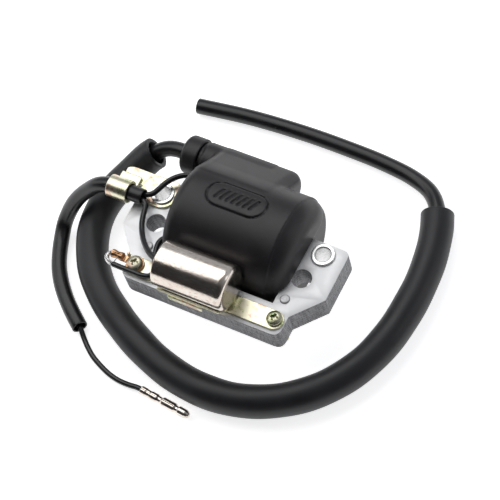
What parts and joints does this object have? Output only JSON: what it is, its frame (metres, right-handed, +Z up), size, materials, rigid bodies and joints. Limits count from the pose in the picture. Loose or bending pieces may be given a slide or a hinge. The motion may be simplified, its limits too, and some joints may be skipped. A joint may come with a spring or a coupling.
{
  "type": "ignition coil",
  "caption": "Small-engine ignition coil: moulded winding case on a laminated iron core, with a condenser, steel bushes, a sleeved high-tension lead and a primary lead with a bullet terminal.",
  "frame": {"origin": "on the flat moulded land under the coil case, straight below the middle of the coil axis", "axes": "+X along the coil axis and the iron leg, from the condenser wire end to the closed end; +Y from the condenser towards the high-tension tower; +Z up, away from the land"},
  "size_m": [0.1672, 0.1444, 0.0508],
  "materials": {
    "sheet_steel": "bright galvanised sheet, faintly brushed",
    "bright_steel": "bright zinc",
    "zinc_yellow": "yellow chromated zinc, faintly iridescent",
    "nickel": "bright nickel",
    "case_black": "satin moulded phenolic",
    "resin_black": "poured potting resin",
    "bobbin_plastic": "unfilled nylon",
    "copper": "copper, satin",
    "brass": "brass, satin",
    "rubber": "black rubber",
    "lead_black": "smooth satin-gloss insulation",
    "sleeve_black": "matte soft sleeving",
    "paper": "waxed paper and foil roll"
  },
  "bodies": {
    "coil": {"bullet_terminal": "nickel", "bush_left": "bright_steel", "bush_right": "bright_steel", "coil_case": "case_black", "condenser_bracket": "zinc_yellow", "condenser_can": "nickel", "condenser_roll": "paper", "condenser_seal": "rubber", "condenser_tag": "brass", "condenser_wire": "lead_black", "core_leg": "sheet_steel", "core_yoke": "sheet_steel", "end_resin": "resin_black", "ground_strand": "copper", "ground_wire": "lead_black", "ht_contact": "brass", "ht_lead": "lead_black", "ht_sleeve": "sleeve_black", "lead_clamp": "zinc_yellow", "lead_seal": "rubber", "nut_left": "zinc_yellow", "nut_right": "zinc_yellow", "primary_bobbin": "bobbin_plastic", "primary_winding": "copper", "primary_wire": "lead_black", "ring_terminal": "copper", "rivet_left": "sheet_steel", "rivet_right": "sheet_steel", "screw_left": "zinc_yellow", "screw_right": "zinc_yellow", "secondary_bobbin": "bobbin_plastic", "secondary_winding": "copper", "wire_sleeve": "sleeve_black"},
    "cap_travel": {"thrust_washer": "bright_steel"},
    "cap": {"ht_cap": "case_black"}
  },
  "joints": [
    {"name": "cap_slide", "type": "slide", "parent": "coil", "child": "cap_travel", "axis": [-1, 0, 0], "range_m": [0, 0.003]},
    {"name": "cap_turn", "type": "hinge", "parent": "cap_travel", "child": "cap", "pos_m": [-0.037, 0.0268, 0.0235], "axis": [-1, 0, 0], "range_deg": [0, 720]}
  ],
  "couplings": [
    {"joint": "cap_turn", "follows": "cap_slide", "rad_per_m": 4188.7}
  ]
}
